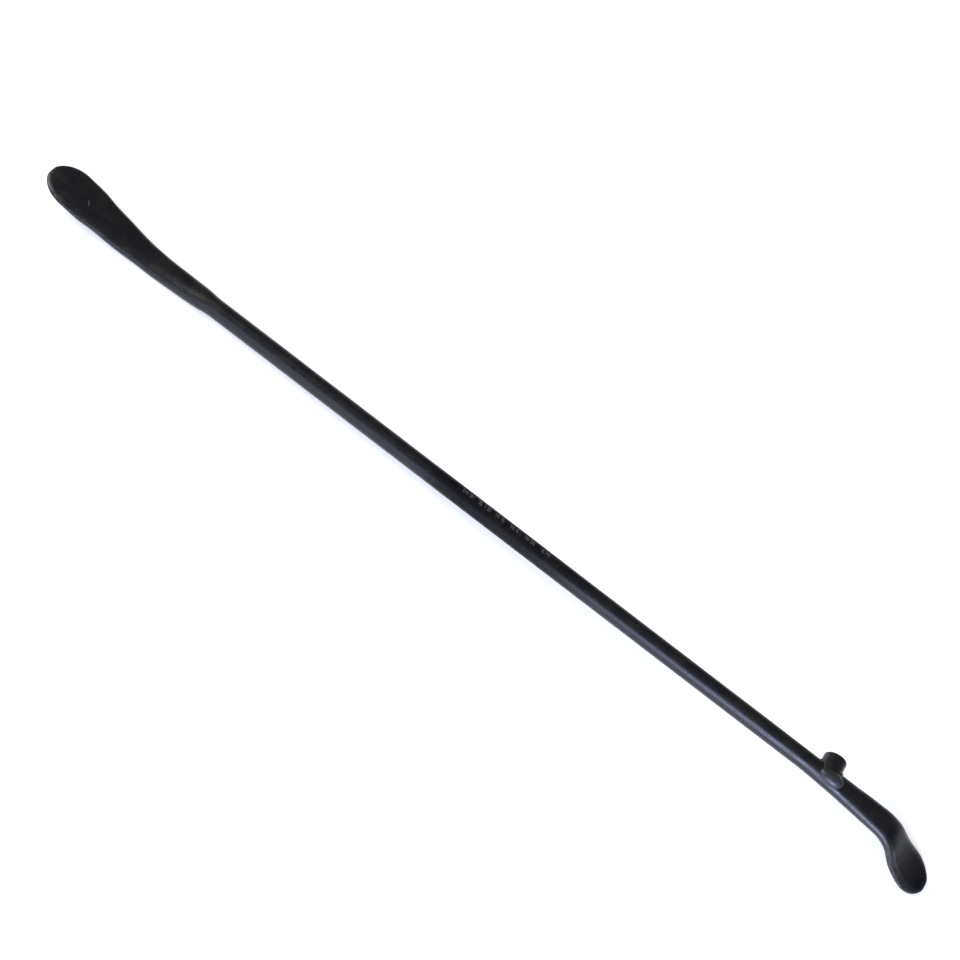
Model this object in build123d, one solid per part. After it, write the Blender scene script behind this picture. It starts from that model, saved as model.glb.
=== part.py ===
from build123d import *
from math import cos, radians, sin, sqrt
import os

# A long lever for tubeless truck tyres: one forged bar with a straight spoon at one end and a hooked
# spoon at the other, and a round stop stud welded to its side just before the hook.  Millimetres.
# Build frame: X along the shank from the straight spoon to the hook, Y across the spoons, Z up, with
# the hook turned down.  At the end the lever is laid down and moved so that it rests on Z = 0.

# Round bar
BAR_R = 9.0
ROUND = 0.5523  # squareness of a round section: the Bezier handle that makes a quarter circle
SIDE_EASE = 0.6  # how much rounder the upper corners are left as the faces are hammered flat
UNDER_FILL = 1.1  # how much fuller the lower corners get, where the face lay on the anvil

# Centre line from the straight spoon's tip: (length of the stretch, degrees it turns downwards)
TIP_HEADING = 1.0
STRETCHES = (
    (31.0, 9.9),  # end of the straight spoon
    (54.5, 0.0),
    (54.0, -12.8),  # set between the spoon and the shank
    (30.0, 0.0),
    (20.0, 1.9),
    (643.5, 0.0),  # shank
    (99.5, 5.1),  # neck, drooping slightly
    (29.5, 41.3),  # hook bend
    (5.0, 0.0),
    (47.0, -26.8),  # hooked spoon
    (12.0, -13.6),
)
PATH_LENGTH = sum(length for length, turn in STRETCHES)

# Forged sections: (distance along the centre line, half width, half thickness, squareness)
SPOON_END_ROUND = 27.0
SPOON_SECTIONS = (
    (27.0, 20.5, 4.2, 0.91),
    (46.0, 19.8, 5.0, 0.90),
    (62.0, 17.6, 5.4, 0.87),
    (80.0, 16.3, 5.8, 0.85),
    (105.0, 13.8, 6.2, 0.81),
    (130.0, 12.5, 6.7, 0.81),
    (155.0, 11.6, 7.5, 0.79),
    (172.0, 10.7, 8.5, 0.67),
    (188.0, BAR_R, BAR_R, ROUND),
    (196.0, BAR_R, BAR_R, ROUND),
)
SPOON_TIP_HALF_THICKNESS = 1.5

HOOK_END_ROUND = 25.0
HOOK_SECTIONS = (
    (832.0, BAR_R, BAR_R, ROUND),
    (843.0, BAR_R, BAR_R, ROUND),
    (880.0, 10.6, 8.1, 0.68),
    (915.0, 12.4, 7.5, 0.75),
    (940.0, 13.9, 6.7, 0.78),
    (961.0, 16.6, 5.9, 0.83),
    (976.0, 19.1, 5.4, 0.87),
    (999.0, 20.9, 4.5, 0.90),
)
HOOK_TIP_HALF_THICKNESS = 1.8
TIP_STEPS = 5  # sections in each rounded tip
TIP_CAP = 12.0  # degrees of each tip's ellipse cut off as its blunt end

# Stop stud, standing out to the side
STUD_DISTANCE = 870.4  # along the centre line
STUD_R = 11.0
STUD_END_Y = 20.3
STUD_ROOT_Y = -1.0
STUD_EDGE_ROUND = 1.2

# Weld bead: a collar that follows the bar's surface round the stud's root, and a lobe over the top of
# the bar towards the hook, before the bar and the stud are taken out of them
COLLAR_R = 13.0
COLLAR_FRONT_Y = -3.5
COLLAR_REACH = (10.4, 12.2)  # ellipse round the bar, half height and half width
LOBE_AT = (2.5, -1.5, 5.5)  # from the stud's root
LOBE_SEMI_AXES = (13.5, 7.5, 6.8)

# Lying convex side up, the lever stands on the hook's tip and on the underside of the straight spoon's
# neck: degrees about Y that bring the two down to one level
REST_PITCH = -2.78


def walk(distance):
    """Point and downward heading at a distance along the centre line, starting from the origin."""
    x, z, heading = 0.0, 0.0, radians(TIP_HEADING)
    left = distance
    for length, turn in STRETCHES:
        run = min(left, length)
        bend = radians(turn) * run / length
        middle = heading + bend / 2
        chord = run if bend == 0 else run * sin(bend / 2) / (bend / 2)
        x += chord * cos(middle)
        z -= chord * sin(middle)
        heading += bend
        left -= run
        if left <= 0:
            break
    return x, z, heading


SHANK_DROP = walk(SPOON_SECTIONS[-1][0])[1]


def centre_at(distance):
    """Point and downward heading of the centre line, with the shank's axis at Z = 0."""
    x, z, heading = walk(distance)
    return x, z - SHANK_DROP, heading


def section(distance, half_width, half_thickness, squareness):
    """Closed cross-section of the bar, square to its centre line."""
    x, z, heading = centre_at(distance)
    plane = Plane(origin=(x, 0, z), x_dir=(0, 1, 0), z_dir=(cos(heading), 0, -sin(heading)))
    upper_fullness = ROUND - SIDE_EASE * (squareness - ROUND)
    lower_fullness = ROUND + UNDER_FILL * (squareness - ROUND)
    edges = []
    for across, up in ((1, 1), (-1, 1), (-1, -1), (1, -1)):
        side = (across * half_width, 0)
        fullness = upper_fullness if up > 0 else lower_fullness
        side_pull = (across * half_width, fullness * up * half_thickness)
        face_pull = (squareness * across * half_width, up * half_thickness)
        face = (0, up * half_thickness)
        points = (side, side_pull, face_pull, face)
        edges.append(Bezier(*(points if across * up > 0 else reversed(points))))
    return plane * make_face(Curve() + edges)


def rounded_tip(end, inward, reach, half_width, thickness, tip_thickness, squareness):
    """Sections of a tip whose outline in plan is most of half an ellipse, from its blunt end inwards."""
    tip = []
    for step in range(TIP_STEPS):
        angle = radians(TIP_CAP + (90 - TIP_CAP) * step / TIP_STEPS)
        depth = 1 - cos(angle) / cos(radians(TIP_CAP))
        swell = sqrt(depth)
        tip.append(
            section(
                end + inward * reach * depth,
                half_width * sin(angle),
                tip_thickness + (thickness - tip_thickness) * swell,
                squareness,
            )
        )
    return tip


def straight_spoon():
    start = SPOON_SECTIONS[0]
    tip = rounded_tip(0, 1, SPOON_END_ROUND, start[1], start[2], SPOON_TIP_HALF_THICKNESS, start[3])
    return loft(tip + [section(*values) for values in SPOON_SECTIONS])


def hooked_spoon():
    last = HOOK_SECTIONS[-1]
    tip = rounded_tip(PATH_LENGTH, -1, HOOK_END_ROUND, last[1], last[2], HOOK_TIP_HALF_THICKNESS, last[3])
    return loft([section(*values) for values in HOOK_SECTIONS] + tip[::-1])


def shank():
    start = section(*SPOON_SECTIONS[-1])
    reach = HOOK_SECTIONS[0][0] - SPOON_SECTIONS[-1][0]
    return extrude(start, amount=reach, dir=(1, 0, 0))


def lever_bar():
    return straight_spoon() + shank() + hooked_spoon()


def stud_blank():
    length = STUD_END_Y - STUD_ROOT_Y
    turned = Cylinder(STUD_R, length, align=(Align.CENTER, Align.CENTER, Align.MIN))
    turned = fillet(turned.edges().group_by(Axis.Z)[-1], STUD_EDGE_ROUND)
    x, z, heading = centre_at(STUD_DISTANCE)
    return Pos(x, STUD_ROOT_Y, z) * Rot(-90, 0, 0) * turned


def collar():
    """What lies near both the stud's skin and the bar's surface."""
    x, z, heading = centre_at(STUD_DISTANCE)
    length = STUD_END_Y - COLLAR_FRONT_Y
    sleeve = Cylinder(COLLAR_R, length, align=(Align.CENTER, Align.CENTER, Align.MIN))
    skin = extrude(Ellipse(*COLLAR_REACH), 2 * STUD_R, both=True)
    return (Pos(x, COLLAR_FRONT_Y, z) * Rot(-90, 0, 0) * sleeve) & (Pos(x, 0, z) * Rot(0, 90, 0) * skin)


def bead_blank():
    x, z, heading = centre_at(STUD_DISTANCE)
    lobe = Pos(x + LOBE_AT[0], LOBE_AT[1], z + LOBE_AT[2]) * scale(Sphere(1), by=LOBE_SEMI_AXES)
    return collar() + lobe


def build():
    bar = lever_bar()
    blank = stud_blank()
    return {
        "lever_bar": bar,
        "stop_stud": blank - bar,
        "weld_bead": bead_blank() - blank - bar,
    }


def at_rest(pieces):
    """The pieces laid down on Z = 0, with the origin under the middle of the lever."""
    pitched = {name: Rot(0, REST_PITCH, 0) * piece for name, piece in pieces.items()}
    box = Compound(list(pitched.values())).bounding_box()
    move = Pos(-box.center().X, -box.center().Y, -box.min.Z)
    return {name: move * piece for name, piece in pitched.items()}


os.makedirs("parts", exist_ok=True)
for name, piece in at_rest(build()).items():
    export_step(piece, f"parts/{name}.step")
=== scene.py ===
import math

import bpy
import numpy as np
from mathutils import Matrix, Vector, noise


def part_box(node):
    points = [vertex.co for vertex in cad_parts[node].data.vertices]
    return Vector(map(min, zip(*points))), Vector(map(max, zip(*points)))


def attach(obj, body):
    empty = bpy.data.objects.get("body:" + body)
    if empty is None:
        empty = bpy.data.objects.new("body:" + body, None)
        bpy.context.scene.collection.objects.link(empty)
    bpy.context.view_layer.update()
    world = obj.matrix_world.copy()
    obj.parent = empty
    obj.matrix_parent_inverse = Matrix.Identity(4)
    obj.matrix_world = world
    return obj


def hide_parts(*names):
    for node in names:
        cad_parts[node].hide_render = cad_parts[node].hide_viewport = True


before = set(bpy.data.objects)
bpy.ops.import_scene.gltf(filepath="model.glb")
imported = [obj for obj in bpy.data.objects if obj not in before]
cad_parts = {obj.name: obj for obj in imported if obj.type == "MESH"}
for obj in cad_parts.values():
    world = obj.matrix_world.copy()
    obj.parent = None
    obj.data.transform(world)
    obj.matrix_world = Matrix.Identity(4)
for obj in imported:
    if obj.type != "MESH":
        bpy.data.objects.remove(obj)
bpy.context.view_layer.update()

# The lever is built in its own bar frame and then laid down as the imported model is: X along the
# shank from the straight spoon's tip, Y across the spoons, Z up with the hook turned down.  The
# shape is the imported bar's; forging marks are cut into it and never stand proud of it.  Metres.

# Bar
BAR_R = 0.009
ROUND = 0.5523  # squareness of a round section: the Bezier handle that makes a quarter circle
SIDE_EASE = 0.6  # how much rounder the upper corners are left as the faces are hammered flat
UNDER_FILL = 1.1  # how much fuller the lower corners get, where the face lay on the anvil
TIP_HEADING = 1.0  # degrees below X that the centre line heads at the straight spoon's tip
REST_PITCH = math.radians(-2.78)  # about Y: as the lever rests, its shank climbs to the hook
SHANK_FROM, SHANK_TO = 0.196, 0.832  # the drawn shank, along the centre line
STRETCHES = (  # length along the centre line, degrees it turns downwards
    (0.0310, 9.9),
    (0.0545, 0.0),
    (0.0540, -12.8),
    (0.0300, 0.0),
    (0.0200, 1.9),
    (0.6435, 0.0),
    (0.0995, 5.1),
    (0.0295, 41.3),
    (0.0050, 0.0),
    (0.0470, -26.8),
    (0.0120, -13.6),
)
SECTIONS = (  # distance along the centre line, half width, half thickness, squareness
    (0.027, 0.0205, 0.0042, 0.91),
    (0.046, 0.0198, 0.0050, 0.90),
    (0.062, 0.0176, 0.0054, 0.87),
    (0.080, 0.0163, 0.0058, 0.85),
    (0.105, 0.0138, 0.0062, 0.81),
    (0.130, 0.0125, 0.0067, 0.81),
    (0.155, 0.0116, 0.0075, 0.79),
    (0.172, 0.0107, 0.0085, 0.67),
    (0.188, BAR_R, BAR_R, ROUND),
    (SHANK_FROM, BAR_R, BAR_R, ROUND),
    (SHANK_TO, BAR_R, BAR_R, ROUND),
    (0.843, BAR_R, BAR_R, ROUND),
    (0.880, 0.0106, 0.0081, 0.68),
    (0.915, 0.0124, 0.0075, 0.75),
    (0.940, 0.0139, 0.0067, 0.78),
    (0.961, 0.0166, 0.0059, 0.83),
    (0.976, 0.0191, 0.0054, 0.87),
    (0.999, 0.0209, 0.0045, 0.90),
)
PATH_LENGTH = sum(length for length, turn in STRETCHES)
BAR_MIDDLE = PATH_LENGTH / 2
SPOON_END_ROUND = 0.027  # length of the elliptical tip of the straight spoon
HOOK_END_ROUND = 0.025  # and of the hooked one
TIP_CAP = math.radians(12)  # part of each tip's ellipse cut off as its blunt end
TIP_CUT = math.cos(TIP_CAP)
SPOON_TIP_HALF_THICKNESS = 0.0015
HOOK_TIP_HALF_THICKNESS = 0.0018
NOSE_ROUND = 0.0013  # how far from its end each tip is rounded over, seen from the side

# Stop stud and its weld
STUD_DISTANCE = 0.8704
STUD_R = 0.011
STUD_END_Y = 0.0203
STUD_ROOT_Y = -0.001
STUD_EDGE_ROUND = 0.0012
BEAD_R = 0.0019
BEAD_PITCH = 0.0017  # from one weld puddle to the next, along the seam
LOBE_AT = (0.0025, -0.0015, 0.0055)  # from the stud's root
LOBE_SEMI_AXES = (0.0135, 0.0075, 0.0068)

# Mark etched along the top of the shank, where the maker's lettering would be
MARK_FROM, MARK_TO = 0.455, 0.561
MARK_ACROSS = 0.0018  # middle of the mark, off the shank's ridge
MARK_HALF_HEIGHT = 0.0026
MARK_STROKE_PITCH = 0.0015
MARK_GROUP_PITCH = 0.0170
MARK_LEAN = 0.25  # along the bar for each unit across it
MARK_EDGE = 0.0002  # over which a stroke fades at its ends, and the row at both of its ends
MARK_ABOVE_AXIS = 0.0010  # the mark fades in from the shank's axis up to here
MARK_STROKE_ENDS = (0.45, 0.60)  # share of the pitch over which a stroke ends
MARK_LEFT_OUT = (0.24, 0.26)  # a stroke whose random value is lower is left out
MARK_GAP_STARTS = (0.84, 0.87)  # share of the group's pitch over which its gap starts
MARK_GAP_EARLIER = 0.2  # and how much sooner it may start
MARK_SHORTEST = 0.4  # of the half height
MARK_INK = (0.35, 0.60, 0.15, 0.75)  # fine noise from and to, and how strong the mark is there
MARK_SEEDS = {"shown": 0.5, "group": 9.5, "height": 40.5}

# Forging marks
SPOON_FORGED = (0.150, 0.190)  # hammering fades out here, along the centre line
HOOK_FORGED = (0.838, 0.888)  # and comes in again here
SHANK_WAVE = 0.04  # the drawn shank's share of the lumps
BROAD_WAVE, BROAD_SIZE, BROAD_SEED = 0.00045, 0.016, 1  # depth, size and seed of the lumps
FINE_WAVE, FINE_SIZE, FINE_SEED = 0.00012, 0.005, 2
SEED_SHIFT = (7.3, 3.1, 5.7)  # from one seed's noise to the next one's
DEEPEST_SHARE = 0.2  # no lump is deeper than this share of the half thickness
SPOON_DISH = 0.0006  # depth of the hollow in the straight spoon's face
SPOON_DISH_STARTS, SPOON_DISH_ENDS = (0.003, 0.016), (0.048, 0.100)  # from the spoon's tip
HOOK_DISH = 0.0010
HOOK_DISH_STARTS, HOOK_DISH_ENDS = (0.003, 0.014), (0.060, 0.085)  # from the hook's tip
DISH_SHARE = 0.78  # of the half width
DISH_FLATNESS = 0.7  # 1 hollows the dish as a parabola, less makes its floor flatter
SCAR_AT = (0.0440, -0.0022, 0.0120)  # nick in the face of the straight spoon, in the bar frame
SCAR_TURN = math.radians(-53)
SCAR_HALF, SCAR_WIDTH, SCAR_DEPTH = 0.0044, 0.0006, 0.00025
SCAR_FULL_SHARE = 0.4  # of its half length, over which the nick has its whole depth
SCAR_GENTLE_WIDTH = 7 * SCAR_WIDTH
SCAR_LOWEST = -0.0050  # from SCAR_AT, where the nick has faded out, so the underside has none

# Welding marks
WELD_WAVE, WELD_LUMP = 0.0004, 0.005
WELD_VOXEL = 0.0004
WELD_EASE_ROUNDS = 6

# Wear and scale, as masks painted on the points
RIM_WEAR = (0.03, 0.12)  # from a tip, where the wear along a spoon's rim fades out
RIM_SHARPNESS = 6  # how closely the wear keeps to the rim
TIP_WEAR = (0.0, 0.006)  # from a tip, where the wear on the tip itself fades out
STUD_WEAR = 0.0022  # from the stud's outer edge
SCALE_ACROSS = (0.55, 0.85)  # share of the half width over which the scale fades out
HOOK_SCALE = (0.930, 0.950)  # along the centre line, where the scale comes in

# View
VIEW_TILT = math.radians(32)  # lean away from square on to the spoons, towards their lit edges
VIEW_ROLL = math.radians(37.46)  # slope of the shank in the picture
VIEW_DISTANCE = 1.552
VIEW_AIM_X = 0.4648
VIEW_AIM_ACROSS = 0.0217
LENS_MM = 65.6
SENSOR_MM = 36.0

# Finish
COLD_BLACK = (0.0050, 0.0054, 0.0075, 1)
WARM_BLACK = (0.0085, 0.0072, 0.0062, 1)
SCALE_GREY = (0.0150, 0.0150, 0.0165, 1)
# Painted highlight: a paler grey laid over the weld for the light its lobe catches on the lit side
WELD_HIGHLIGHT_GREY = (0.0700, 0.0700, 0.0780, 1)
BARE_STEEL = (0.1400, 0.1350, 0.1300, 1)
ETCH_GREY = (0.1900, 0.1900, 0.2000, 1)
BLOTCH_SCALE, MOTTLE_SCALE, FINE_SCALE = 70, 650, 3200  # of the noises, in cells a metre
DRAWN_SCALES = (9, 1400, 1400)  # lines that run along the bar
TURNED_SCALES = (60, 3500, 60)  # rings round the stud
WARM_BLOTCHES = (0.38, 0.66)  # blotch noise from cold black to warm
SCALE_SPECKS = (0.56, 0.74, 0, 0.6)  # mottling from and to, and how much scale is there
PALE_BLOTCHES = (0.2, 0.8)  # blotch noise from the least painted-highlight grey to the most
PALE_LEAST = 0.7  # share of the painted-highlight grey where there is least
MOTTLE_HEIGHT, FINE_HEIGHT = 0.7, 0.3  # shares of the grain's height
GRAIN_DEPTH, GRAIN_STRENGTH = 0.00025, 0.55
DRAWN_DEPTH = 0.00008
TURNED_DEPTH = 0.00006
MOTTLE_ROUGHNESS = (0.3, 0.7, 0.30, 0.40)  # mottling from and to, and the roughness there
BLOTCH_ROUGHER = (0.3, 0.7, -0.05, 0.06)  # blotch noise from and to, and what it adds
DRAWN_ROUGHER = (0.35, 0.65, -0.04, 0.04)  # the drawn lines' noise, and what it adds
ETCH_ROUGHER = 0.20  # added in the mark
SCALE_ROUGHER = 0.12  # and in the scale
SPECULAR = 0.38
DULL_SPECULAR = 0.10  # scale on the hooked spoon's face, and the shank round the mark
DULL_FROM = (0.395, 0.460)  # along the bar, where the shank's finish turns dull
DULL_TO = (0.500, 0.650)  # and where it is bright again
CHIPPED = (0.50, 0.62)  # mottling over which worn edges are rubbed bare
BARE_METALLIC = 0.8

# Studio
FLOOR_SIZE = 8.0
FLOOR_GAP = 0.0002
FLOOR_COLOUR = (0.86, 0.86, 0.86)
FLOOR_ROUGHNESS = 0.9
FLOOR_SPECULAR = 0.1
FLOOR_GLOW = 0.40  # the floor is a light table
WHITE = (1.0, 1.0, 1.0)
WORLD_STRENGTH = 0.17
PANEL_COLOUR = (0.62, 0.70, 1.0)
LIGHTS = (  # name, place, place aimed at, width and height, power in watts, colour
    ("Side_Panel", (-0.25, -1.5, 0.56), (-0.25, 0, 0.03), (1.6, 1.1), 12, PANEL_COLOUR),
    ("Hook_Panel", (1.0, -1.5, 0.55), (0.4, 0, 0.03), (0.9, 1.0), 54, PANEL_COLOUR),
    ("Fill", (-4.0, -0.6, 3.2), (0, 0, 0), (3.0, 3.0), 240, WHITE),
)

# Mesh density
RING_POINTS_PER_QUARTER = 26
TIP_RINGS = 60
TIP_FIRST_SHARE = 0.0005  # of the tip's length, from its end to its first ring
FORGED_STEP = 0.0012
FINE_STEP = 0.0005  # along the centre line, when its bends are summed
SHANK_STEP = 0.005
STUD_AROUND = 128
STUD_CORNER_RINGS, STUD_WALL_RINGS, STUD_FACE_RINGS = 9, 23, 13
STUD_INNER_R = 0.0005  # smallest ring of the stud's face, which one flat face closes
POLE_ANGLE = math.radians(4)  # of an ellipsoid's first ring from its pole
PUDDLE_RINGS = 10
LOBE_RINGS = 60


# ---------------------------------------------------------------- curves

def monotone(knots, values, at):
    """Smooth curve through the knots that never swings past their values."""
    knots, values = np.asarray(knots), np.asarray(values)
    step = np.diff(knots)
    rise = np.diff(values) / step
    slope = np.concatenate([rise[:1], np.zeros(len(knots) - 2), rise[-1:]])
    for i in range(1, len(knots) - 1):
        if rise[i - 1] * rise[i] > 0:
            near, far = 2 * step[i] + step[i - 1], step[i] + 2 * step[i - 1]
            slope[i] = (near + far) / (near / rise[i - 1] + far / rise[i])
    i = np.clip(np.searchsorted(knots, at) - 1, 0, len(step) - 1)
    t = np.clip((at - knots[i]) / step[i], 0, 1)
    return (
        (1 + 2 * t) * (1 - t) ** 2 * values[i]
        + t * (1 - t) ** 2 * step[i] * slope[i]
        + t * t * (3 - 2 * t) * values[i + 1]
        - t * t * (1 - t) * step[i] * slope[i + 1]
    )


def ramp(low, high, at):
    """0 below low, 1 above high, eased between."""
    t = np.clip((at - low) / (high - low), 0, 1)
    return t * t * (3 - 2 * t)


def centre_line(distances):
    """X, Z and downward heading of the centre line, with the shank's axis at Z = 0."""
    fine = np.unique(np.concatenate([np.arange(0, PATH_LENGTH, FINE_STEP), distances]))
    ends = np.cumsum([0] + [length for length, turn in STRETCHES])
    turned = np.radians(TIP_HEADING + np.cumsum([0] + [turn for length, turn in STRETCHES]))
    heading = np.interp(fine, ends, turned)
    middle = (heading[1:] + heading[:-1]) / 2
    x = np.concatenate([[0], np.cumsum(np.cos(middle) * np.diff(fine))])
    z = -np.concatenate([[0], np.cumsum(np.sin(middle) * np.diff(fine))])
    z -= np.interp(BAR_MIDDLE, fine, z)
    return tuple(np.interp(distances, fine, values) for values in (x, z, heading))


def ring_distances():
    """Where the bar's rings lie: close together on the forged ends, closest at the round tips."""
    tip = 1 - np.cos(np.linspace(TIP_CAP, math.pi / 2, TIP_RINGS)) / TIP_CUT
    tip = np.maximum(tip, TIP_FIRST_SHARE)
    return np.concatenate([
        SPOON_END_ROUND * tip,
        np.arange(SPOON_END_ROUND + FORGED_STEP, SHANK_FROM, FORGED_STEP),
        np.arange(SHANK_FROM, SHANK_TO, SHANK_STEP),
        np.arange(SHANK_TO, PATH_LENGTH - HOOK_END_ROUND - FORGED_STEP / 2, FORGED_STEP),
        PATH_LENGTH - HOOK_END_ROUND * tip[::-1],
    ])


def section_sizes(distances):
    """Half width, half thickness and squareness of the bar at each distance."""
    knots = [values[0] for values in SECTIONS]
    width, thickness, squareness = (
        monotone(knots, [values[i] for values in SECTIONS], distances) for i in (1, 2, 3)
    )
    for depth, reach, end_thickness in (
        (distances, SPOON_END_ROUND, SPOON_TIP_HALF_THICKNESS),
        (PATH_LENGTH - distances, HOOK_END_ROUND, HOOK_TIP_HALF_THICKNESS),
    ):
        share = np.clip(depth / reach, 0, 1)
        width = width * np.sqrt(1 - (TIP_CUT * (1 - share)) ** 2)
        tip = end_thickness + (thickness - end_thickness) * np.sqrt(share)
        nose = np.sqrt(1 - (1 - np.clip(depth / NOSE_ROUND, 0, 1)) ** 2)
        thickness = tip * nose
    return width, thickness, squareness


def half_section(squareness, fullness):
    """Upper half of a unit section, from its +across side over the top, short of the other side."""
    t = np.linspace(0, 1, RING_POINTS_PER_QUARTER + 1)
    across = (1 - t) ** 3 + 3 * (1 - t) ** 2 * t + 3 * (1 - t) * t * t * squareness
    up = 3 * (1 - t) ** 2 * t * fullness + 3 * (1 - t) * t * t + t ** 3
    return np.concatenate([across[:-1], -across[:0:-1]]), np.concatenate([up[:-1], up[:0:-1]])


def unit_section(squareness):
    """Points round a section of half width 1 and half thickness 1, as (across, up)."""
    over = half_section(squareness, ROUND - SIDE_EASE * (squareness - ROUND))
    under = half_section(squareness, ROUND + UNDER_FILL * (squareness - ROUND))
    return np.concatenate([over[0], -under[0]]), np.concatenate([over[1], -under[1]])


# ---------------------------------------------------------------- forging marks

def lumps(points, size, seed):
    """Smooth random values from 0 to 1 over the points, with lumps about as large as size."""
    shift = Vector(SEED_SHIFT) * seed
    return np.array([0.5 + 0.5 * noise.noise(Vector(p) / size + shift) for p in points])


def forged_share(distances):
    """1 on the hammered ends and next to nothing on the drawn shank."""
    spoon = 1 - ramp(*SPOON_FORGED, distances)
    hook = ramp(*HOOK_FORGED, distances)
    return np.maximum(np.maximum(spoon, hook), SHANK_WAVE)


def dish_depth(distances):
    """How far the upper face is hollowed, at its middle, at each distance."""
    from_hook = PATH_LENGTH - distances
    spoon = ramp(*SPOON_DISH_STARTS, distances) * (1 - ramp(*SPOON_DISH_ENDS, distances))
    hook = ramp(*HOOK_DISH_STARTS, from_hook) * (1 - ramp(*HOOK_DISH_ENDS, from_hook))
    return SPOON_DISH * spoon + HOOK_DISH * hook


# ---------------------------------------------------------------- meshes

def mesh_object(name, points, faces):
    """Smooth-shaded object from points and faces, in the scene."""
    mesh = bpy.data.meshes.new(name)
    mesh.from_pydata([tuple(p) for p in points], [], faces)
    mesh.validate()
    mesh.polygons.foreach_set("use_smooth", [True] * len(mesh.polygons))
    piece = bpy.data.objects.new(name, mesh)
    bpy.context.scene.collection.objects.link(piece)
    return piece


def tube_faces(rings, around):
    """Quads between rings of points, and one face over each end."""
    faces = []
    for ring in range(rings - 1):
        for i in range(around):
            j = (i + 1) % around
            low, high = ring * around, (ring + 1) * around
            faces.append((low + i, low + j, high + j, high + i))
    last = (rings - 1) * around
    faces.append(tuple(reversed(range(around))))
    faces.append(tuple(range(last, last + around)))
    return faces


def add_mask(piece, name, values):
    """Paint a value on each point of the mesh, for the materials to read."""
    layer = piece.data.attributes.new(name, "FLOAT", "POINT")
    layer.data.foreach_set("value", np.asarray(values, dtype=np.float32))


def lever_bar():
    """The forged bar as rings of points along its centre line."""
    distances = ring_distances()
    x, z, heading = centre_line(distances)
    width, thickness, squareness = section_sizes(distances)
    dish = dish_depth(distances)
    forged = forged_share(distances)
    points, worn, scaly = [], [], []
    for i, along in enumerate(distances):
        across, up = unit_section(squareness[i])
        y, v = across * width[i], up * thickness[i]
        face = np.clip(1 - (across / DISH_SHARE) ** 2, 0, 1) ** DISH_FLATNESS
        v = v - np.where(up > 0, dish[i] * face, 0)
        skin = np.stack([np.full_like(y, along), y, v], axis=1)
        broad = BROAD_WAVE * lumps(skin, BROAD_SIZE, BROAD_SEED)
        fine = FINE_WAVE * lumps(skin, FINE_SIZE, FINE_SEED)
        inset = np.minimum(forged[i] * (broad + fine), DEEPEST_SHARE * thickness[i])
        out = np.stack([across / max(width[i], 1e-6), up / max(thickness[i], 1e-6)])
        out = out / np.maximum(np.linalg.norm(out, axis=0), 1e-9)
        y, v = y - inset * out[0], v - inset * out[1]
        sin_h, cos_h = math.sin(heading[i]), math.cos(heading[i])
        points.append(np.stack([x[i] + v * sin_h, y, z[i] + v * cos_h], axis=1))
        tip = min(along, PATH_LENGTH - along)
        rim = np.abs(across) ** RIM_SHARPNESS * (1 - ramp(*RIM_WEAR, tip))
        worn.append(np.maximum(rim, 1 - ramp(*TIP_WEAR, tip)))
        flat = np.where(up > 0, 1 - ramp(*SCALE_ACROSS, np.abs(across)), 0)
        scaly.append(flat * ramp(*HOOK_SCALE, along))
    around = len(across)
    piece = mesh_object("Lever_Bar", np.concatenate(points), tube_faces(len(distances), around))
    add_mask(piece, "worn", np.concatenate(worn))
    add_mask(piece, "scaly", np.concatenate(scaly))
    return piece


def revolved(name, profile, around):
    """A solid turned about Y from its (radius, y) outline, with a flat face on each end."""
    turn = np.linspace(0, 2 * math.pi, around, endpoint=False)
    rings = [
        np.stack([radius * np.cos(turn), np.full(around, y), radius * np.sin(turn)], axis=1)
        for radius, y in profile
    ]
    points = np.concatenate(rings)
    return mesh_object(name, points, tube_faces(len(rings), around))


def stop_stud():
    """The round stud about the Y axis, with its outer edge rounded."""
    edge = STUD_EDGE_ROUND
    corner = [
        (STUD_R - edge + edge * math.cos(a), STUD_END_Y - edge + edge * math.sin(a))
        for a in np.linspace(0, math.pi / 2, STUD_CORNER_RINGS)
    ]
    wall_y = np.linspace(STUD_ROOT_Y, STUD_END_Y - edge, STUD_WALL_RINGS + 1)[:-1]
    face_r = np.linspace(STUD_R - edge, STUD_INNER_R, STUD_FACE_RINGS + 1)[1:]
    wall = [(STUD_R, y) for y in wall_y]
    face = [(radius, STUD_END_Y) for radius in face_r]
    piece = revolved("Stop_Stud", wall + corner + face, STUD_AROUND)
    x, y, z = np.array([vertex.co for vertex in piece.data.vertices]).T
    by_end = ramp(-STUD_WEAR, 0, y - STUD_END_Y)
    by_wall = ramp(-STUD_WEAR, 0, np.hypot(x, z) - STUD_R)
    add_mask(piece, "worn", by_end * by_wall)
    return piece


def ellipsoid(name, centre, semi_axes, rings):
    """Closed mesh of an ellipsoid with its poles on the Y axis."""
    around = 2 * rings
    turn = np.linspace(0, 2 * math.pi, around, endpoint=False)
    sphere = []
    for tilt in np.linspace(POLE_ANGLE, math.pi - POLE_ANGLE, rings):
        radius, y = math.sin(tilt), np.full(around, -math.cos(tilt))
        sphere.append(np.stack([radius * np.cos(turn), y, radius * np.sin(turn)], axis=1))
    points = np.concatenate(sphere) * np.array(semi_axes) + np.array(centre)
    return mesh_object(name, points, tube_faces(rings, around))


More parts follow.
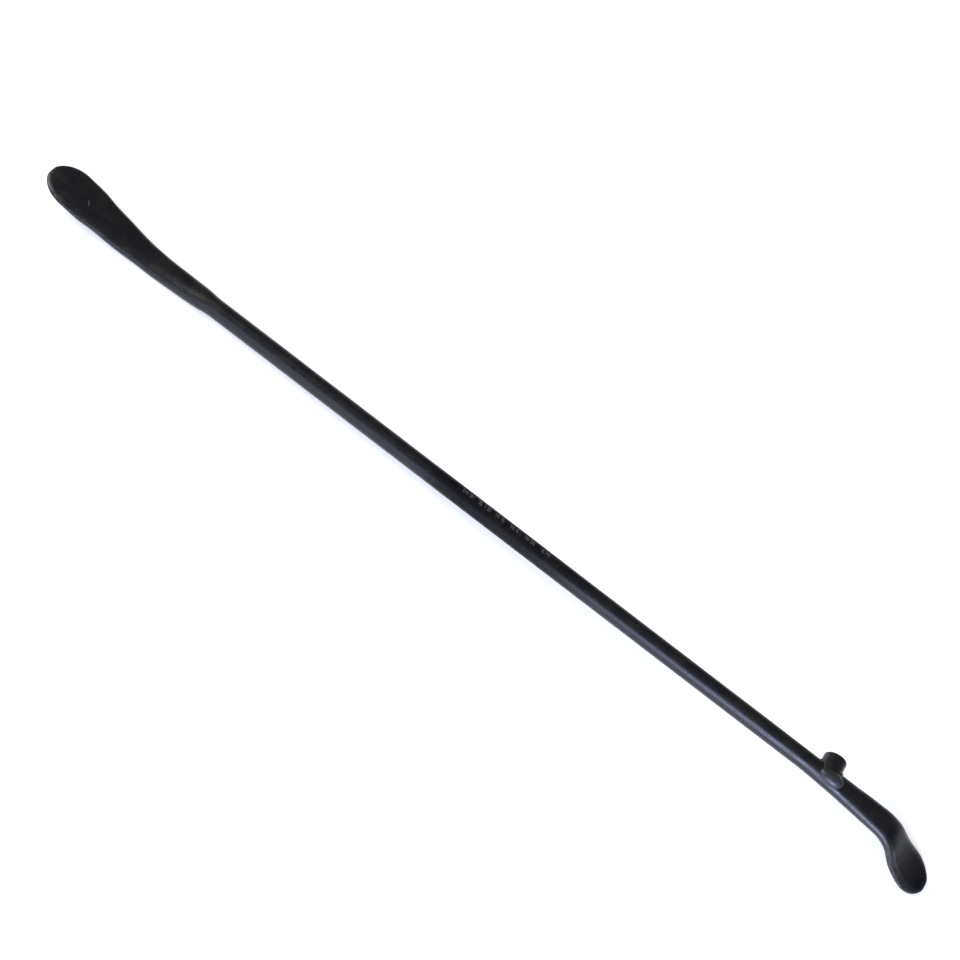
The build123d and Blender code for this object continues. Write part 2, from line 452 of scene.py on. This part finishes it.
def seam():
    """Closed line where the stud meets the bar, as evenly spaced points from the stud's root."""
    width, thickness, squareness = section_sizes(np.array([STUD_DISTANCE]))
    across, up = unit_section(squareness[0])
    y, z = across * width[0], up * thickness[0]
    flank = np.array(sorted(zip(y, z), key=lambda point: math.atan2(point[1], point[0])))
    flank = flank[flank[:, 0] >= STUD_ROOT_Y]
    half_chord = np.sqrt(STUD_R ** 2 - flank[:, 1] ** 2)
    right = np.column_stack([half_chord, flank])
    left = np.column_stack([-half_chord, flank])[::-1]
    loop = np.concatenate([right, left, right[:1]])
    run = np.concatenate([[0], np.cumsum(np.linalg.norm(np.diff(loop, axis=0), axis=1))])
    at = np.arange(0, run[-1], BEAD_PITCH)
    return np.stack([np.interp(at, run, loop[:, i]) for i in range(3)], axis=1)


def weld_bead():
    """Hand-laid bead: puddles stacked along the seam and a lobe over the bar, run into one skin."""
    puddles = [
        ellipsoid(f"Puddle_{i}", spot, (BEAD_R, BEAD_R, BEAD_R), PUDDLE_RINGS)
        for i, spot in enumerate(seam())
    ]
    lobe = ellipsoid("Lobe", LOBE_AT, LOBE_SEMI_AXES, LOBE_RINGS)
    bead = run_together("Weld_Bead", puddles + [lobe])
    for vertex in bead.data.vertices:
        wave = 0.5 + 0.5 * noise.noise(vertex.co / WELD_LUMP)
        vertex.co = vertex.co - vertex.normal * (WELD_WAVE * wave)
    return bead


def run_together(name, parts):
    """One skin over several overlapping closed meshes."""
    with bpy.context.temp_override(active_object=parts[0], selected_editable_objects=parts):
        bpy.ops.object.join()
    joined = parts[0]
    joined.name = joined.data.name = name
    remesh = joined.modifiers.new("Skin", "REMESH")
    remesh.mode = "VOXEL"
    remesh.voxel_size = WELD_VOXEL
    remesh.use_smooth_shade = True
    smooth = joined.modifiers.new("Ease", "SMOOTH")
    smooth.iterations = WELD_EASE_ROUNDS
    shown = joined.evaluated_get(bpy.context.evaluated_depsgraph_get())
    skin = bpy.data.meshes.new_from_object(shown)
    joined.modifiers.clear()
    joined.data = skin
    return joined


# ---------------------------------------------------------------- materials

def add_node(material, kind, **inputs):
    """A shader node whose inputs are constants, or are linked from other nodes' outputs."""
    node = material.node_tree.nodes.new(kind)
    for name, value in inputs.items():
        wire(material, node, name.replace("_", " "), value)
    return node


def wire(material, node, socket, value):
    """Set an input, given by its name or number, to a constant or link it to an output."""
    target = node.inputs[int(socket)] if socket.isdigit() else node.inputs[socket]
    if isinstance(value, bpy.types.NodeSocket):
        material.node_tree.links.new(value, target)
    else:
        target.default_value = value


def noise_at(material, place, scale, detail=4.0, roughness=0.55):
    node = add_node(material, "ShaderNodeTexNoise", Scale=scale, Detail=detail, Roughness=roughness)
    wire(material, node, "Vector", place)
    return node.outputs["Fac"]


def between(material, value, low, high, out_low=0.0, out_high=1.0):
    """value eased from out_low at low to out_high at high."""
    node = add_node(material, "ShaderNodeMapRange", Value=value)
    node.interpolation_type = "SMOOTHSTEP"
    ends = {"From Min": low, "From Max": high, "To Min": out_low, "To Max": out_high}
    for socket, number in ends.items():
        node.inputs[socket].default_value = number
    return node.outputs["Result"]


def maths(material, operation, first, second=0.0):
    node = add_node(material, "ShaderNodeMath")
    node.operation = operation
    wire(material, node, "0", first)
    wire(material, node, "1", second)
    return node.outputs["Value"]


def added(material, first, second):
    return maths(material, "ADD", first, second)


def times(material, first, *others):
    """All the values multiplied together."""
    for other in others:
        first = maths(material, "MULTIPLY", first, other)
    return first


def mixed(material, share, first, second):
    """Colour from first at share 0 to second at share 1."""
    node = add_node(material, "ShaderNodeMix")
    node.data_type = "RGBA"
    wire(material, node, "0", share)
    wire(material, node, "6", first)
    wire(material, node, "7", second)
    return node.outputs[2]


def bumped(material, height, distance, strength, below=None):
    """Normal of a surface raised by height, on top of the normal below."""
    node = add_node(material, "ShaderNodeBump", Height=height, Distance=distance, Strength=strength)
    if below is not None:
        wire(material, node, "Normal", below)
    return node.outputs["Normal"]


def stretched(material, place, scale):
    """Texture coordinates multiplied by a scale for each axis."""
    node = add_node(material, "ShaderNodeMapping", Vector=place)
    node.inputs["Scale"].default_value = scale
    return node.outputs["Vector"]


def bar_place(material):
    """Texture coordinates in the bar frame, in metres."""
    laid = lay_down()
    node = add_node(material, "ShaderNodeMapping")
    node.vector_type = "TEXTURE"
    wire(material, node, "Vector", add_node(material, "ShaderNodeTexCoord").outputs["Object"])
    node.inputs["Location"].default_value = laid.to_translation()
    node.inputs["Rotation"].default_value = laid.to_euler()
    return node.outputs["Vector"]


def blacked_steel(name, grain=1.0, drawn=0.0, turned=0.0, mark=False, wear=0.0, pale=0.0):
    """Satin black over steel: blotchy colour, uneven gloss, fine grain, worn edges and, on the weld,
    a paler grey that is a painted highlight.
    """
    material = bpy.data.materials.new(name)
    material.use_nodes = True
    shader = material.node_tree.nodes["Principled BSDF"]
    place = bar_place(material)

    blotch = noise_at(material, place, BLOTCH_SCALE, detail=5)
    mottle = noise_at(material, place, MOTTLE_SCALE, detail=4)
    fine = noise_at(material, place, FINE_SCALE, detail=3)
    colour = mixed(material, between(material, blotch, *WARM_BLOTCHES), COLD_BLACK, WARM_BLACK)
    colour = mixed(material, between(material, mottle, *SCALE_SPECKS), colour, SCALE_GREY)
    # Painted highlight: the whole piece is turned paler grey in blotches, standing in for the light
    # the weld's lobe catches
    if pale:
        painted_highlight = between(material, blotch, *PALE_BLOTCHES, PALE_LEAST * pale, pale)
        colour = mixed(material, painted_highlight, colour, WELD_HIGHLIGHT_GREY)
    rough = between(material, mottle, *MOTTLE_ROUGHNESS)
    rough = added(material, rough, between(material, blotch, *BLOTCH_ROUGHER))
    height = times(material, mottle, MOTTLE_HEIGHT)
    height = added(material, height, times(material, fine, FINE_HEIGHT))
    normal = bumped(material, height, GRAIN_DEPTH * grain, GRAIN_STRENGTH)
    if drawn:
        lines = noise_at(material, stretched(material, place, DRAWN_SCALES), 1, detail=2)
        normal = bumped(material, lines, DRAWN_DEPTH, drawn, below=normal)
        rough = added(material, rough, between(material, lines, *DRAWN_ROUGHER))
    if turned:
        rings = noise_at(material, stretched(material, place, TURNED_SCALES), 1, detail=2)
        normal = bumped(material, rings, TURNED_DEPTH, turned, below=normal)
    sheen = SPECULAR
    if mark:
        normal = bumped(material, scar(material, place), SCAR_DEPTH, 1.0, below=normal)
        etched = etched_mark(material, place, fine)
        colour = mixed(material, etched, colour, ETCH_GREY)
        rough = added(material, rough, times(material, etched, ETCH_ROUGHER))
        scaly = mask_value(material, "scaly")
        rough = added(material, rough, times(material, scaly, SCALE_ROUGHER))
        dull = maths(material, "MAXIMUM", scaly, dull_shank(material, place))
        sheen = between(material, dull, 0, 1, SPECULAR, DULL_SPECULAR)
    if wear:
        chips = between(material, mottle, *CHIPPED)
        rubbed = times(material, mask_value(material, "worn"), chips, wear)
        colour = mixed(material, rubbed, colour, BARE_STEEL)
        wire(material, shader, "Metallic", times(material, rubbed, BARE_METALLIC))
    wire(material, shader, "Specular IOR Level", sheen)
    wire(material, shader, "Base Color", colour)
    wire(material, shader, "Roughness", rough)
    wire(material, shader, "Normal", normal)
    return material


def dull_shank(material, place):
    """1 on the part of the shank whose finish is dull, round the mark, and 0 away from it."""
    axes = add_node(material, "ShaderNodeSeparateXYZ", Vector=place)
    along = axes.outputs[0]
    begins = between(material, along, *DULL_FROM)
    return times(material, begins, between(material, along, *DULL_TO, 1, 0))


def mask_value(material, name):
    """Value of a mask painted on the mesh's points."""
    node = add_node(material, "ShaderNodeAttribute")
    node.attribute_name = name
    return node.outputs["Fac"]


def random_value(material, cell, seed):
    """Random value from 0 to 1 for each stroke or group of the mark."""
    node = add_node(material, "ShaderNodeTexWhiteNoise")
    node.noise_dimensions = "1D"
    wire(material, node, "W", added(material, cell, seed))
    return node.outputs["Value"]


def etched_mark(material, place, fine):
    """Generic mark: a row of short leaning strokes, uneven in height and spacing, not letters."""
    axes = add_node(material, "ShaderNodeSeparateXYZ", Vector=place)
    x, y, z = (axes.outputs[i] for i in range(3))
    begun = between(material, x, MARK_FROM, MARK_FROM + MARK_EDGE)
    going_on = between(material, x, MARK_TO, MARK_TO + MARK_EDGE, 1, 0)
    inside = times(material, begun, going_on, between(material, z, 0, MARK_ABOVE_AXIS))

    leaning = added(material, x, times(material, y, MARK_LEAN))
    steps = times(material, leaning, 1 / MARK_STROKE_PITCH)
    cell = maths(material, "FLOOR", steps)
    stroke = between(material, maths(material, "FRACT", steps), *MARK_STROKE_ENDS, 1, 0)
    chance = random_value(material, cell, MARK_SEEDS["shown"])
    present = between(material, chance, *MARK_LEFT_OUT)

    groups = times(material, leaning, 1 / MARK_GROUP_PITCH)
    chance = random_value(material, maths(material, "FLOOR", groups), MARK_SEEDS["group"])
    sooner = times(material, chance, MARK_GAP_EARLIER)
    through = added(material, maths(material, "FRACT", groups), sooner)
    grouped = between(material, through, *MARK_GAP_STARTS, 1, 0)

    chance = random_value(material, cell, MARK_SEEDS["height"])
    tall = times(material, chance, MARK_HALF_HEIGHT * (1 - MARK_SHORTEST))
    tall = added(material, tall, MARK_HALF_HEIGHT * MARK_SHORTEST)
    off_line = maths(material, "ABSOLUTE", maths(material, "SUBTRACT", y, MARK_ACROSS))
    over = maths(material, "SUBTRACT", off_line, tall)
    high = between(material, over, 0, MARK_EDGE, 1, 0)

    ink = between(material, fine, *MARK_INK)
    return times(material, stroke, present, grouped, inside, high, ink)


def scar(material, place):
    """Height of a short nick in the straight spoon's face: one side is steep, one gentle."""
    node = add_node(material, "ShaderNodeMapping", Vector=place)
    node.vector_type = "TEXTURE"
    node.inputs["Location"].default_value = SCAR_AT
    node.inputs["Rotation"].default_value = (0, 0, SCAR_TURN)
    axes = add_node(material, "ShaderNodeSeparateXYZ", Vector=node.outputs["Vector"])
    along, beside, above = (axes.outputs[i] for i in range(3))
    off_middle = maths(material, "ABSOLUTE", along)
    length = between(material, off_middle, SCAR_HALF * SCAR_FULL_SHARE, SCAR_HALF, 1, 0)
    steep = between(material, beside, -SCAR_WIDTH, 0)
    gentle = between(material, beside, 0, SCAR_GENTLE_WIDTH, 1, 0)
    return times(material, steep, gentle, length, between(material, above, SCAR_LOWEST, 0))


# ---------------------------------------------------------------- scene

def lay_down():
    """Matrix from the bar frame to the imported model's frame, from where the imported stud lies."""
    low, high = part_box("stop_stud")
    pitch = Matrix.Rotation(REST_PITCH, 4, "Y")
    root = pitch @ stud_root()
    middle = (low + high) / 2
    return Matrix.Translation((middle.x - root.x, high.y - STUD_END_Y, middle.z - root.z)) @ pitch


def stud_root():
    """Where the stud's axis meets the bar's centre line, in the bar frame."""
    x, z, heading = centre_line(np.array([STUD_DISTANCE]))
    return Vector((x[0], 0, z[0]))


def set_down(piece, node, material, at=(0, 0, 0)):
    """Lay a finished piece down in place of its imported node."""
    piece.data.transform(lay_down() @ Matrix.Translation(at))
    piece.data.materials.append(material)
    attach(piece, "root")
    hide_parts(node)


def floor():
    """Plain pale floor that the lever rests on."""
    mesh = bpy.data.meshes.new("Floor")
    half = FLOOR_SIZE / 2
    corners = [(-half, -half, 0), (half, -half, 0), (half, half, 0), (-half, half, 0)]
    mesh.from_pydata([(x, y, z - FLOOR_GAP) for x, y, z in corners], [], [(0, 1, 2, 3)])
    piece = bpy.data.objects.new("Floor", mesh)
    bpy.context.scene.collection.objects.link(piece)
    material = bpy.data.materials.new("Pale_Floor")
    material.use_nodes = True
    shader = material.node_tree.nodes["Principled BSDF"]
    shader.inputs["Base Color"].default_value = (*FLOOR_COLOUR, 1)
    shader.inputs["Roughness"].default_value = FLOOR_ROUGHNESS
    shader.inputs["Specular IOR Level"].default_value = FLOOR_SPECULAR
    shader.inputs["Emission Color"].default_value = (*WHITE, 1)
    shader.inputs["Emission Strength"].default_value = FLOOR_GLOW
    mesh.materials.append(material)


def view_axes():
    """Camera's right, up and back in the bar frame, and the picture's way across the lever."""
    back = Vector((0, -math.sin(VIEW_TILT), math.cos(VIEW_TILT)))
    along = Vector((1, 0, 0))
    across = Vector((0, math.cos(VIEW_TILT), math.sin(VIEW_TILT)))
    right = along * math.cos(VIEW_ROLL) + across * math.sin(VIEW_ROLL)
    up = across * math.cos(VIEW_ROLL) - along * math.sin(VIEW_ROLL)
    return right, up, back, across


def camera():
    """The camera at the photo's angle, over the lever's lit side."""
    right, up, back, across = view_axes()
    aim = Vector((VIEW_AIM_X, 0, 0)) + across * VIEW_AIM_ACROSS
    turn = Matrix((right, up, back)).transposed().to_4x4()
    data = bpy.data.cameras.new("Camera")
    data.lens = LENS_MM
    data.sensor_width = SENSOR_MM
    piece = bpy.data.objects.new("Camera", data)
    piece.matrix_world = lay_down() @ Matrix.Translation(aim + back * VIEW_DISTANCE) @ turn
    bpy.context.scene.collection.objects.link(piece)
    bpy.context.scene.camera = piece


def soft_light(name, place_at, aim_at, size, power, colour):
    """Rectangular area light that the camera doesn't see."""
    data = bpy.data.lights.new(name, "AREA")
    data.shape = "RECTANGLE"
    data.size, data.size_y = size
    data.energy = power
    data.color = colour
    piece = bpy.data.objects.new(name, data)
    piece.location = place_at
    piece.rotation_euler = (Vector(aim_at) - Vector(place_at)).to_track_quat("-Z", "Y").to_euler()
    piece.visible_camera = False
    bpy.context.scene.collection.objects.link(piece)


def lights():
    """Low bluish panels along the lit side, brighter by the hook, and a fill beyond the tip."""
    for light in LIGHTS:
        soft_light(*light)
    world = bpy.data.worlds.new("Studio")
    world.use_nodes = True
    background = world.node_tree.nodes["Background"]
    background.inputs["Color"].default_value = (*WHITE, 1)
    background.inputs["Strength"].default_value = WORLD_STRENGTH
    bpy.context.scene.world = world
    bpy.context.scene.view_settings.view_transform = "Standard"


def build():
    """The lever's three pieces and their finishes."""
    root = stud_root()
    forged = blacked_steel("Black_Forged_Steel", drawn=0.35, mark=True, wear=0.5)
    turned = blacked_steel("Black_Turned_Steel", grain=0.5, turned=0.4, wear=0.7)
    weld = blacked_steel("Weld_Painted_Highlight", grain=1.3, pale=0.3)
    set_down(lever_bar(), "lever_bar", forged)
    set_down(stop_stud(), "stop_stud", turned, at=root)
    set_down(weld_bead(), "weld_bead", weld, at=root)


build()
floor()
camera()
lights()
